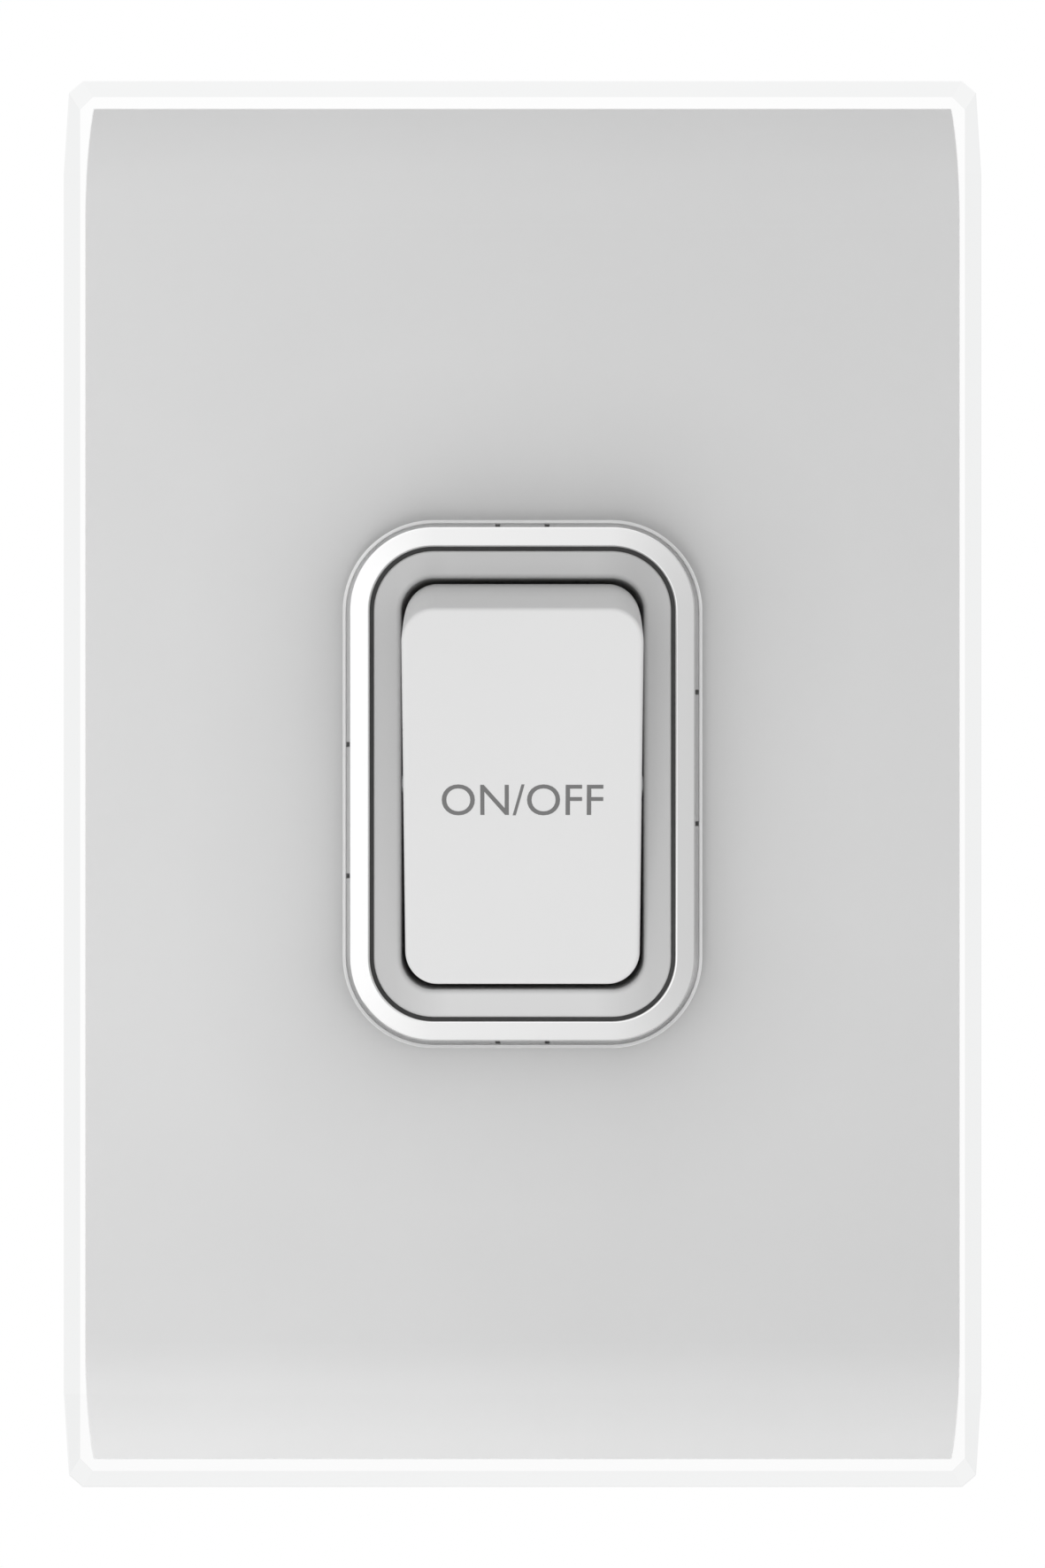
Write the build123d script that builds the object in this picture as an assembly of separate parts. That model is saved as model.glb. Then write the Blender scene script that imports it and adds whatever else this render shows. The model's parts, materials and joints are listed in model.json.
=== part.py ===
"""Flush-plate cooker switch: clear cover, fascia, trim ring, rocker and a double-pole mechanism.

Millimetres. X is the width and Z is up. The wall is the plane y = 0 and the front faces -Y, so a height
above the wall, t, is -y. The origin is midway between the two wall fixings. The rocker is modelled level
and then turned to its resting tilt, bottom pressed in.
"""

from build123d import *
from math import cos, radians, sin, sqrt
import os

# Plate: clear cover
plate_width = 76.0
plate_height = 118.0
plate_rise = 6.24
slope_length = 8.55
slope_drop = 2.19
corner_chamfer = 1.1
cover_side_wall = 1.64
cover_end_wall = 1.73
cover_front_wall = 1.0
cover_edge_break = 0.15
cover_gap = 0.44
cover_opening_break = 0.2
cover_lug_reach = 0.9
cover_lug_length = 8.0
cover_lug_z = 12.0

# Plate: fascia
fascia_wall = 1.5
fascia_bend_radius = 19.4
fascia_bend_drop = 3.2
fascia_foot = 0.4
fascia_collar_wall = 1.0
fascia_post_radius = 2.0
fascia_post_x = 25.0
fascia_post_z = 35.0
clip_length = 7.0
clip_reach = 1.2
clip_z = 28.0
plate_fit = 0.05

# Outlines round the rocker: all share the same four corner centres
corner_x = 7.34
corner_z = 14.3
well_radius = 2.68
bezel_wall = 2.25
bezel_flange = 1.17
bezel_rise = 6.8
bezel_well_edge = 0.4
bezel_outer_edge = 0.2
ring_gap = 0.35
ring_width = 1.6
ring_rise = 7.2
ring_fall = 0.14
ring_edge = 0.16
ring_fit = 0.15
ring_key_width = 0.4
ring_key_reach = 0.3
ring_key_depth = 1.0
ring_key_x = 2.05
ring_key_high_z = 7.65
ring_key_low_z = 3.3
nub_width = 0.6
nub_spacing_x = 9.4
nub_spacing_z = 10.7
nub_depth = 0.5

# Rocker
pivot_rise = 4.56
rocker_face_height = 6.16
rocker_side_gap = 0.4
rocker_end_gap = 0.35
rocker_corner_radius = 2.6
rocker_edge_radius = 0.35
rocker_wall = 1.2
rocker_skirt_angle = 14.0
rocker_tilt = 12.0
pin_radius = 1.0
pin_seat = 1.2
pin_edge = 0.2
pin_running_gap = 0.05
pin_fixed_gap = 0.02
cap_fit = 0.05
cap_slot_gap = 0.48
snap_radius = 0.9
snap_reach = 0.4
snap_z = 9.0

# Dolly and plungers
dolly_waist = 4.6
dolly_nose = 3.2
dolly_taper_start = 3.0
dolly_depth = 10.5
dolly_side_gap = 0.12
dolly_wing_reach = 13.2
dolly_wing_depth = 1.9
dolly_wing_width = 1.4
plunger_radius = 1.45
plunger_running_gap = 0.05
plunger_length = 8.95
spring_wire = 0.4
spring_coils = 4.5
spring_radius = 1.05
bore_roof = 0.6

# Contacts
pole_x = 6.0
lever_reach = 16.0
lever_tilt = 6.8
lever_clearance = 0.1
arm_width = 5.0
arm_thickness = 1.2
arm_seat = 0.35
arm_top = 13.8
arm_tail = 9.2
arm_corner = 1.0
arm_flange_wall = 0.7
arm_flange_rise = 1.3
arm_flange_half = 5.0
notch_gap = 0.05
notch_floor = 0.44
notch_mouth = 1.4
knife_edge_flat = 0.2
knife_root = 2.2
tip_z = 11.5
tip_radius = 2.0
tip_height = 1.0
tip_edge = 0.2
rivet_radius = 0.9
rivet_gap = 0.02
contact_gap = 0.1
fixed_tip_height = 0.96
strip_thickness = 1.2
bracket_overrun = 2.5
load_strip_start = 9.0
strip_lap = 1.0
stop_z = 8.2
stop_thickness = 1.0

# Terminals
terminal_offset = 4.5
terminal_width = 8.0
terminal_height = 9.4
terminal_front = 5.45
terminal_back = 5.85
cable_bore_radius = 2.6
cable_bore_depth = 11.0
earth_width = 6.0
earth_bore_radius = 2.0
earth_screw_radius = 1.7
clamp_screw_radius = 1.95
clamp_thread_gap = 0.05
clamp_screw_length = 5.3
clamp_lift = 0.1
driver_slot_width = 0.8
driver_slot_depth = 0.9
strip_foot_start = 13.0
strip_foot_margin = 1.0
strip_socket = 1.5
socket_gap = 0.03
terminal_edge = 0.4

# Case
case_width = 43.2
case_height = 57.2
case_corner = 2.0
case_edge = 0.5
case_wall = 1.6
case_front_wall = 2.0
window_margin = 0.9
well_box_wall = 1.2
rocker_stop_gap = 0.27
rocker_stop_start = 12.6
base_thickness = 2.0
terminal_seat_gap = 0.1
cable_hole_gap = 0.8
cable_collar_wall = 1.0
cable_collar_rise = 1.5
barrier_thickness = 1.6
barrier_gap = 0.5
barrier_top = 7.5
pedestal_length = 3.0
cradle_wall = 1.0
cradle_gap = 0.2
cradle_rise = 5.8
locating_rib_length = 24.0
locating_rib_rise = 3.0
locating_rib_wall = 1.2
locating_rib_gap = 0.1
vent_width = 1.2
vent_length = 12.0
vent_pitch = 3.0
vent_count = 3

# Screws
fixing_centres = 84.0
fixing_screw_radius = 1.75
fixing_neck_radius = 1.4
fixing_screw_length = 21.0
fixing_head_radius = 3.3
fixing_head_height = 2.0
fixing_hole_gap = 0.25
fixing_slot_travel = 3.0
fixing_recess = 0.8
fixing_recess_margin = 0.9
case_screw_radius = 1.25
case_screw_head_radius = 2.6
case_screw_head_height = 1.4
case_screw_length = 10.0
screw_boss_radius = 2.4
screw_pilot_gap = 0.05
screw_hole_gap = 0.35
screw_tip_room = 0.6
case_screw_z = 14.0
case_screw_inset = 1.0
base_screw_inset = 2.0
base_screw_length = 10.0
cross_width = 0.7
cross_length = 2.6
cross_depth = 0.9
pan_edge_share = 0.4

# Grid frame
grid_thickness = 1.8
grid_corner = 3.0
grid_side_margin = 1.86
grid_head_room = 0.2
grid_window_gap = 0.15
grid_rib_width = 1.4
grid_rib_rise = 1.0
grid_rib_inset = 3.6
grid_rib_half_length = 46.0
grid_cross_rib_z = 30.0
grid_collar_wall = 1.0
grid_tab_thickness = 0.6
grid_tab_reach = 1.6

# How far a cut runs past the faces that it opens
through = 1.0

# Plate heights and reaches worked out from the sizes above
half_width = plate_width / 2
half_height = plate_height / 2
fascia_half_x = half_width - cover_side_wall
fascia_half_z = half_height - cover_end_wall
fascia_rise = plate_rise - cover_front_wall
bend_centre_t = fascia_rise - fascia_bend_radius
bend_length = sqrt(fascia_bend_radius ** 2 - (fascia_bend_radius - fascia_bend_drop) ** 2)
bend_start = fascia_half_z - bend_length

bezel_radius = well_radius + bezel_wall
flange_radius = bezel_radius + bezel_flange
ring_inner_radius = bezel_radius + ring_gap
ring_outer_radius = ring_inner_radius + ring_width
fascia_opening_radius = ring_outer_radius + ring_fit
cover_opening_radius = ring_outer_radius + cover_gap
window_radius = well_radius + window_margin

grid_half_x = fascia_half_x - fascia_wall - grid_side_margin
grid_clear_t = grid_thickness + grid_head_room - bend_centre_t
grid_half_z = bend_start + sqrt((fascia_bend_radius - fascia_wall) ** 2 - grid_clear_t ** 2)

# Rocker
rocker_half_width = corner_x + well_radius - rocker_side_gap
rocker_end_radius = corner_z + well_radius - rocker_end_gap
skirt_depth = rocker_end_radius * sin(radians(rocker_skirt_angle))
dolly_half_width = rocker_half_width - rocker_wall - dolly_side_gap
dolly_top = rocker_face_height - rocker_wall
plunger_tip = lever_reach - (arm_thickness - arm_seat) - lever_clearance
plunger_top = plunger_tip - plunger_length
bore_top = pin_radius + bore_roof

# Depths behind the wall, as heights t that are below zero
arm_pivot_t = pivot_rise - lever_reach
tip_stack = arm_seat + tip_height + contact_gap
closed_t = arm_pivot_t - tip_stack * cos(radians(lever_tilt)) - tip_z * sin(radians(lever_tilt))
strip_front_t = closed_t - fixed_tip_height
strip_back_t = strip_front_t - strip_thickness
block_front_t = strip_front_t + terminal_front
block_back_t = strip_back_t - terminal_back
case_back_t = block_back_t
base_back_t = case_back_t - base_thickness
clamp_t = block_back_t + cable_bore_depth / 2
rocker_dip = rocker_end_radius * sin(radians(rocker_skirt_angle + rocker_tilt))
stop_front_t = pivot_rise - rocker_dip - rocker_stop_gap

# Case and terminal places
inside_half_x = case_width / 2 - case_wall
inside_half_z = case_height / 2 - case_wall
block_outer_z = inside_half_z - terminal_seat_gap
block_centre_z = block_outer_z - terminal_height / 2
block_inner_z = block_outer_z - terminal_height
terminal_x = pole_x + terminal_offset
case_screw_x = inside_half_x - case_screw_inset
base_screw_x = inside_half_x - base_screw_inset
base_screw_z = inside_half_z - base_screw_inset
fixing_seat_t = grid_thickness - fixing_recess


def slab(sketch, low, high):
    """A plan outline, drawn in X and Z, made solid between two heights above the wall."""
    return extrude(Plane.XZ.offset(low) * sketch, amount=high - low)


def across(sketch, half, t=0.0, x=0.0):
    """A section, drawn in Z and height above t, made solid to both sides of x."""
    return extrude(Plane((x, -t, 0), x_dir=(0, 0, 1), z_dir=(1, 0, 0)) * sketch, amount=half, both=True)


def outline(radius):
    """The tall rounded outline with the given corner radius about the shared corner centres."""
    return RectangleRounded(2 * (corner_x + radius), 2 * (corner_z + radius), radius)


def block(x0, x1, t0, t1, z0, z1):
    """A plain block between the given limits."""
    return Pos((x0 + x1) / 2, -(t0 + t1) / 2, (z0 + z1) / 2) * Box(x1 - x0, t1 - t0, z1 - z0)


def four(shape):
    """A shape in the +X +Z quarter, repeated in all four."""
    pair = shape + mirror(shape, about=Plane.YZ)
    return pair + mirror(pair, about=Plane.XY)


def to_left(shape):
    """The left-hand copy of a right-hand piece."""
    return mirror(shape, about=Plane.YZ)


def to_rest(shape):
    """A level piece of the rocker, turned to its resting tilt."""
    return shape.rotate(Axis((0, -pivot_rise, 0), (1, 0, 0)), rocker_tilt)


def lever_to_rest(shape):
    """A level piece of a contact arm, turned to its resting tilt."""
    return shape.rotate(Axis((0, -arm_pivot_t, 0), (1, 0, 0)), -lever_tilt)


def bent_section(inset, foot):
    """The fascia's section, inset by a wall, with both ends bent back along an arc."""
    radius = fascia_bend_radius - inset
    end = fascia_half_z - inset
    end_t = bend_centre_t + sqrt(radius ** 2 - (end - bend_start) ** 2)
    middle = (end - bend_start) / 2
    middle_t = bend_centre_t + sqrt(radius ** 2 - middle ** 2)
    top_t = bend_centre_t + radius
    edge = [
        Line((-end, foot), (-end, end_t)),
        ThreePointArc((-end, end_t), (-bend_start - middle, middle_t), (-bend_start, top_t)),
        Line((-bend_start, top_t), (bend_start, top_t)),
        ThreePointArc((bend_start, top_t), (bend_start + middle, middle_t), (end, end_t)),
        Line((end, end_t), (end, foot)),
        Line((end, foot), (-end, foot)),
    ]
    return make_face(edge)


def clear_cover():
    """Clear cover: flat front that slopes at both ends, hollow for the fascia, with four inner lugs."""
    flat = half_height - slope_length
    section = Polygon(
        (-half_height, 0),
        (-half_height, plate_rise - slope_drop),
        (-flat, plate_rise),
        (flat, plate_rise),
        (half_height, plate_rise - slope_drop),
        (half_height, 0),
        align=None,
    )
    body = across(section, half_width)
    body = chamfer(body.edges().filter_by(Axis.Y), corner_chamfer)
    front = body.faces().filter_by(lambda face: face.normal_at().Y < -0.5)
    rim = [edge for face in front for edge in face.edges() if abs(edge.tangent_at(0.5).X) < 0.99]
    rim += front.sort_by(Axis.Z)[-1].edges().sort_by(Axis.Z)[-1:]
    rim += front.sort_by(Axis.Z)[0].edges().sort_by(Axis.Z)[:1]
    body = chamfer(rim, cover_edge_break)
    body -= across(bent_section(-plate_fit, -through), fascia_half_x + plate_fit)
    body -= slab(outline(cover_opening_radius), 0, plate_rise + through)
    front = body.faces().sort_by(Axis.Y)[0]
    body = chamfer(front.inner_wires()[0].edges(), cover_opening_break)
    lug = block(
        fascia_half_x - cover_lug_reach,
        half_width - cover_side_wall / 2,
        0,
        fascia_foot,
        cover_lug_z - cover_lug_length / 2,
        cover_lug_z + cover_lug_length / 2,
    )
    return body + four(lug)


def fascia():
    """Opaque plate under the clear cover, with a keyed collar round the opening, posts and four clips."""
    body = across(bent_section(0, fascia_foot), fascia_half_x)
    body -= across(bent_section(fascia_wall, -through), fascia_half_x - fascia_wall)
    under = fascia_rise - fascia_wall
    body += slab(outline(fascia_opening_radius + fascia_collar_wall), grid_thickness, under)
    body -= slab(outline(fascia_opening_radius), 0, plate_rise)
    body -= ring_keys()
    post = slab(Pos(fascia_post_x, fascia_post_z) * Circle(fascia_post_radius), grid_thickness, under)
    inside_x = fascia_half_x - fascia_wall
    hook_top = grid_thickness - grid_tab_thickness
    hook = Polygon(
        (inside_x, fascia_foot),
        (inside_x - clip_reach / 2, fascia_foot),
        (inside_x - clip_reach, hook_top),
        (inside_x, hook_top),
        align=None,
    )
    hook = extrude(Plane.XY * mirror(hook, about=Plane.XZ), amount=clip_length / 2, both=True)
    return body + four(post) + four(Pos(0, 0, clip_z) * hook)


def ring_keys():
    """Small key slots in the edge of the fascia's opening, the same when turned half round."""
    low = fascia_rise - ring_key_depth
    reach = fascia_opening_radius + ring_key_reach
    half = ring_key_width / 2
    keys = block(ring_key_x - half, ring_key_x + half, low, plate_rise, corner_z, corner_z + reach)
    keys += to_left(keys)
    for z in (ring_key_high_z, -ring_key_low_z):
        keys += block(corner_x, corner_x + reach, low, plate_rise, z - half, z + half)
    return keys + keys.rotate(Axis.Y, 180)


def nubs(radius, reach, top):
    """Eight small locating nubs on an outline's straight sides, standing out from a radius."""
    x_side = block(
        corner_x + radius - nub_depth,
        corner_x + radius + reach,
        grid_thickness,
        top,
        nub_spacing_z / 2 - nub_width / 2,
        nub_spacing_z / 2 + nub_width / 2,
    )
    z_side = block(
        nub_spacing_x / 2 - nub_width / 2,
        nub_spacing_x / 2 + nub_width / 2,
        grid_thickness,
        top,
        corner_z + radius - nub_depth,
        corner_z + radius + reach,
    )
    return four(x_side) + four(z_side)


def trim_ring():
    """Bright ring round the bezel, its front falling a little outwards, with broken edges."""
    brow_t = ring_rise - ring_fall
    outer_edge = Plane.XZ.offset(brow_t) * outline(ring_outer_radius)
    inner_edge = Plane.XZ.offset(ring_rise) * outline(ring_inner_radius)
    body = slab(outline(ring_outer_radius), grid_thickness, brow_t) + loft([outer_edge, inner_edge])
    body -= slab(outline(ring_inner_radius), grid_thickness, ring_rise)
    front = body.faces().sort_by(Axis.Y)[0]
    return chamfer(front.edges(), ring_edge)


def bezel():
    """Moulded frame round the rocker: tall wall, rear flange, nubs and two seats for the pivot pin."""
    body = slab(outline(bezel_radius), 0, bezel_rise) - slab(outline(well_radius), 0, bezel_rise)
    front = body.faces().sort_by(Axis.Y)[0]
    body = fillet(front.inner_wires()[0].edges(), bezel_well_edge)
    front = body.faces().sort_by(Axis.Y)[0]
    body = fillet(front.outer_wire().edges(), bezel_outer_edge)
    body += slab(outline(flange_radius), 0, grid_thickness) - slab(outline(well_radius), 0, grid_thickness)
    body += nubs(bezel_radius, ring_gap - plate_fit, bezel_rise - nub_depth)
    seat_half = corner_x + well_radius + pin_seat + pin_fixed_gap
    seat = Plane.YZ.offset(-seat_half) * Pos(-pivot_rise, 0) * Circle(pin_radius + pin_fixed_gap)
    return body - extrude(seat, amount=2 * seat_half)


def pivot_pin():
    """Steel pin across the bezel that the rocker turns on."""
    half = corner_x + well_radius + pin_seat
    pin = extrude(Plane.YZ.offset(-half) * Pos(-pivot_rise, 0) * Circle(pin_radius), amount=2 * half)
    return chamfer(pin.edges().filter_by(GeomType.CIRCLE), pin_edge)


def rocker_form(inset, drop):
    """The rocker's outer form, or its hollow when inset: ends are arcs about the pivot."""
    radius = rocker_end_radius - inset
    top = rocker_face_height - inset
    low = -skirt_depth - drop
    half_top = sqrt(radius ** 2 - top ** 2)
    half_low = sqrt(radius ** 2 - low ** 2)
    edge = [
        Line((-half_top, top), (half_top, top)),
        ThreePointArc((half_top, top), (radius, 0), (half_low, low)),
        Line((half_low, low), (-half_low, low)),
        ThreePointArc((-half_low, low), (-radius, 0), (-half_top, top)),
    ]
    body = across(make_face(edge), rocker_half_width - inset, pivot_rise)
    corners = body.edges().filter_by(GeomType.CIRCLE)
    return fillet(corners, rocker_corner_radius - inset)


def rocker_cap():
    """White cap of the rocker, hollow, open below, with slots over the pin and snap pockets inside."""
    body = rocker_form(0, 0)
    body = fillet(body.faces().sort_by(Axis.Y)[0].edges(), rocker_edge_radius)
    body -= rocker_form(rocker_wall, through)
    slot_radius = pin_radius + cap_slot_gap
    slot = Circle(slot_radius) + Pos(0, -skirt_depth) * Rectangle(2 * slot_radius, 2 * skirt_depth)
    body -= across(slot, rocker_half_width + through, pivot_rise)
    for side in (-1, 1):
        for end in (-1, 1):
            pocket = Plane.YZ * Pos(-pivot_rise, end * snap_z) * Circle(snap_radius + cap_fit)
            deep = dolly_half_width + snap_reach + cap_fit
            body -= extrude(pocket, amount=side * deep)
    return to_rest(body)


def dolly_bore(x, radius, low, high):
    """A round bore along the dolly, between two depths below the pivot."""
    return slab(Pos(x, 0) * Circle(radius), pivot_rise - low, pivot_rise - high)


def rocker_dolly():
    """Carrier inside the cap: tapered nose, four wings, snaps, pivot bore and two plunger bores."""
    nose = Polygon(
        (-dolly_waist, dolly_top),
        (-dolly_waist, -dolly_taper_start),
        (-dolly_nose, -dolly_depth),
        (dolly_nose, -dolly_depth),
        (dolly_waist, -dolly_taper_start),
        (dolly_waist, dolly_top),
        align=None,
    )
    body = across(nose, dolly_half_width, pivot_rise)
    wing_low = dolly_top - dolly_wing_depth
    wing = Polygon(
        (0, dolly_top),
        (dolly_wing_reach, dolly_top),
        (dolly_wing_reach, wing_low),
        (dolly_waist, wing_low - dolly_wing_depth),
        (0, wing_low - dolly_wing_depth),
        align=None,
    )
    wing_x = dolly_half_width - dolly_wing_width / 2
    for x in (-wing_x, 0, wing_x):
        one = across(wing, dolly_wing_width / 2, pivot_rise, x)
        body += one + mirror(one, about=Plane.XY)
    snaps = across(Rectangle(2 * snap_z, 2 * snap_radius), dolly_wing_width / 2, pivot_rise, wing_x)
    inner_x = dolly_half_width - dolly_wing_width
    for z in (-snap_z, snap_z):
        snap = Plane.YZ.offset(inner_x) * Pos(-pivot_rise, z) * Circle(snap_radius)
        snaps += extrude(snap, amount=dolly_wing_width + snap_reach)
    body += snaps + to_left(snaps)
    bore = Plane.YZ.offset(-rocker_half_width) * Pos(-pivot_rise, 0) * Circle(pin_radius + pin_running_gap)
    body -= extrude(bore, amount=2 * rocker_half_width)
    for x in (-pole_x, pole_x):
        body -= dolly_bore(x, plunger_radius + plunger_running_gap, dolly_depth + through, bore_top)
    return to_rest(body)


def plunger():
    """Right-hand plunger: a round rod with a ball end."""
    rod_length = plunger_length - plunger_radius
    half = Pos(plunger_radius / 2, rod_length / 2) * Rectangle(plunger_radius, rod_length)
    right_half = Pos(plunger_radius, 0) * Rectangle(2 * plunger_radius, 2 * plunger_radius)
    half += Circle(plunger_radius) & right_half
    turned = revolve(Plane.XY * half, Axis.Y)
    ball_t = pivot_rise - plunger_tip + plunger_radius
    return to_rest(Pos(pole_x, -ball_t, 0) * turned.rotate(Axis.X, 180))


def plunger_spring():
    """Right-hand coil spring between the roof of the bore and the plunger."""
    length = plunger_top - bore_top - spring_wire
    start = Vector(pole_x, -pivot_rise + bore_top + spring_wire / 2, 0)
    path = Helix(length / spring_coils, length, spring_radius, center=start, direction=(0, 1, 0))
    wire = Plane(origin=path @ 0, z_dir=path % 0) * Circle(spring_wire / 2)
    return to_rest(sweep(wire, path=path, is_frenet=True))


def contact_arm():
    """Right-hand rocking arm: a formed plate with a knife notch, guide flanges and a rivet hole."""
    back = arm_pivot_t - arm_seat
    front = back + arm_thickness
    length = arm_top + arm_tail
    plan = Pos(pole_x, (arm_top - arm_tail) / 2) * RectangleRounded(arm_width, length, arm_corner)
    body = slab(plan, back, front)
    for x in (pole_x - arm_width / 2, pole_x + arm_width / 2 - arm_flange_wall):
        top = front + arm_flange_rise
        body += block(x, x + arm_flange_wall, back, top, -arm_flange_half, arm_flange_half)
    notch = Polygon(
        (-notch_mouth / 2, 0),
        (-notch_floor / 2, arm_seat + notch_gap),
        (notch_floor / 2, arm_seat + notch_gap),
        (notch_mouth / 2, 0),
        align=None,
    )
    body -= across(notch, arm_width, back, pole_x)
    body -= slab(Pos(pole_x, tip_z) * Circle(rivet_radius + rivet_gap), back, front)
    return lever_to_rest(body)


def moving_tip():
    """Right-hand silver rivet on the contact arm."""
    back = arm_pivot_t - arm_seat
    head = slab(Pos(pole_x, tip_z) * Circle(tip_radius), back - tip_height, back)
    head = chamfer(head.faces().sort_by(Axis.Y)[-1].edges(), tip_edge)
    shank = slab(Pos(pole_x, tip_z) * Circle(rivet_radius), back, back + arm_thickness)
    return lever_to_rest(head + shank)


def fixed_tip():
    """Right-hand silver rivet on the load strip, its face parallel to the closed moving tip."""
    face_t = arm_pivot_t - tip_stack
    centre_z = tip_z * cos(radians(lever_tilt)) - tip_stack * sin(radians(lever_tilt))
    blank_t = strip_front_t + fixed_tip_height + tip_radius
    head = slab(Pos(pole_x, centre_z) * Circle(tip_radius), strip_front_t, blank_t)
    above = block(0, 2 * pole_x, face_t, arm_pivot_t + tip_radius, 0, 2 * tip_z)
    head -= lever_to_rest(above)
    shank = slab(Pos(pole_x, centre_z) * Circle(rivet_radius), strip_back_t, strip_front_t)
    return head + shank


def strip_foot(sign):
    """The wide end of a strip that is pressed into its terminal, up when sign is 1."""
    outer_x = terminal_x + terminal_width / 2 - strip_foot_margin
    low, high = sorted((sign * strip_foot_start, sign * (block_inner_z + strip_socket)))
    return block(pole_x, outer_x, strip_back_t, strip_front_t, low, high)


def fixed_contact():
    """Right-hand load strip, from the fixed tip to the load terminal."""
    half = arm_width / 2
    end = strip_foot_start + strip_lap
    body = block(pole_x - half, pole_x + half, strip_back_t, strip_front_t, load_strip_start, end)
    body += strip_foot(1)
    centre_z = tip_z * cos(radians(lever_tilt)) - tip_stack * sin(radians(lever_tilt))
    return body - slab(Pos(pole_x, centre_z) * Circle(rivet_radius + rivet_gap), strip_back_t, strip_front_t)


def pivot_bracket():
    """Right-hand line strip, with the knife edge that the arm rocks on and the tab that stops it."""
    half = arm_width / 2
    end = -strip_foot_start - strip_lap
    body = block(pole_x - half, pole_x + half, strip_back_t, strip_front_t, end, bracket_overrun)
    body += strip_foot(-1)
    knife = Polygon(
        (-knife_root / 2, strip_front_t - arm_pivot_t),
        (-knife_edge_flat / 2, 0),
        (knife_edge_flat / 2, 0),
        (knife_root / 2, strip_front_t - arm_pivot_t),
        align=None,
    )
    body += across(knife, half, arm_pivot_t, pole_x)
    swing = arm_seat * cos(radians(lever_tilt)) + stop_z * sin(radians(lever_tilt))
    stop_t = arm_pivot_t - swing - contact_gap
    stop_end = -stop_z - stop_thickness / 2
    return body + block(pole_x - half, pole_x + half, strip_front_t, stop_t, stop_end, stop_end + stop_thickness)


def tunnel_terminal(x, width, bore_radius, screw_radius, sign, socket):
    """A brass tunnel terminal with a cable bore from behind and a clamp hole from its outer end."""
    low, high = sorted((sign * block_inner_z, sign * block_outer_z))
    body = block(x - width / 2, x + width / 2, block_back_t, block_front_t, low, high)
    body = chamfer(body.edges().filter_by(Axis.Y), terminal_edge)
    centre_z = sign * block_centre_z
    body -= slab(Pos(x, centre_z) * Circle(bore_radius), block_back_t, block_back_t + cable_bore_depth)
    outer_z = sign * (block_centre_z + terminal_height / 2)
    body -= Pos(x, -clamp_t, outer_z) * Cylinder(screw_radius + clamp_thread_gap, terminal_height)
    if socket:
        grown = strip_foot(sign)
        body -= grown
        for step in (-socket_gap, socket_gap):
            body -= Pos(0, step, 0) * grown
            body -= Pos(step, 0, 0) * grown
    return body


def clamp_screw(x, bore_radius, screw_radius):
    """A slotted clamp screw of an upper terminal, backed off clear of the empty cable bore."""
    tip = block_centre_z + bore_radius + clamp_lift
    top = tip + clamp_screw_length
    screw = Pos(x, -clamp_t, (tip + top) / 2) * Cylinder(screw_radius, clamp_screw_length)
    return screw - block(
        x - screw_radius,
        x + screw_radius,
        clamp_t - driver_slot_width / 2,
        clamp_t + driver_slot_width / 2,
        top - driver_slot_depth,
        top,
    )


def terminal_screws():
    """The five clamp screws."""
    earth = clamp_screw(0, earth_bore_radius, earth_screw_radius)
    mains = clamp_screw(terminal_x, cable_bore_radius, clamp_screw_radius)
    return four(mains) + mirror(earth, about=Plane.XY)


def pan_screw(x, z, seat, shank_radius, head_radius, head_height, length, up):
    """A pan-head screw with a cross recess, its head in front of the seat when up is 1, else behind."""
    head_top = seat + up * head_height
    head = slab(Pos(x, z) * Circle(head_radius), *sorted((seat, head_top)))
    outer = head.faces().sort_by(Axis.Y)[0 if up > 0 else -1]
    head = fillet(outer.edges(), pan_edge_share * head_height)
    cross = Rectangle(cross_width, cross_length) + Rectangle(cross_length, cross_width)
    head -= slab(Pos(x, z) * cross, *sorted((head_top - up * cross_depth, head_top)))
    return head + slab(Pos(x, z) * Circle(shank_radius), *sorted((seat, seat - up * length)))


def mounting_screws():
    """The two screws that hold the grid frame to the wall box, with a plain neck above the wall."""
    ring = Circle(fixing_screw_radius) - Circle(fixing_neck_radius)
    upper = pan_screw(
        0,
        fixing_centres / 2,
        fixing_seat_t,
        fixing_screw_radius,
        fixing_head_radius,
        fixing_head_height,
        fixing_screw_length,
        1,
    )
    upper -= slab(Pos(0, fixing_centres / 2) * ring, 0, fixing_seat_t)
    return upper + mirror(upper, about=Plane.XY)


def case_screws():
    """The four screws that hold the mechanism to the grid frame."""
    return four(
        pan_screw(
            case_screw_x,
            case_screw_z,
            grid_thickness,
            case_screw_radius,
            case_screw_head_radius,
            case_screw_head_height,
            case_screw_length,
            1,
        )
    )


def base_screws():
    """The four screws that hold the terminal base to the housing."""
    return four(
        pan_screw(
            base_screw_x,
            base_screw_z,
            base_back_t,
            case_screw_radius,
            case_screw_head_radius,
            case_screw_head_height,
            base_screw_length,
            -1,
        )
    )


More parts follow.
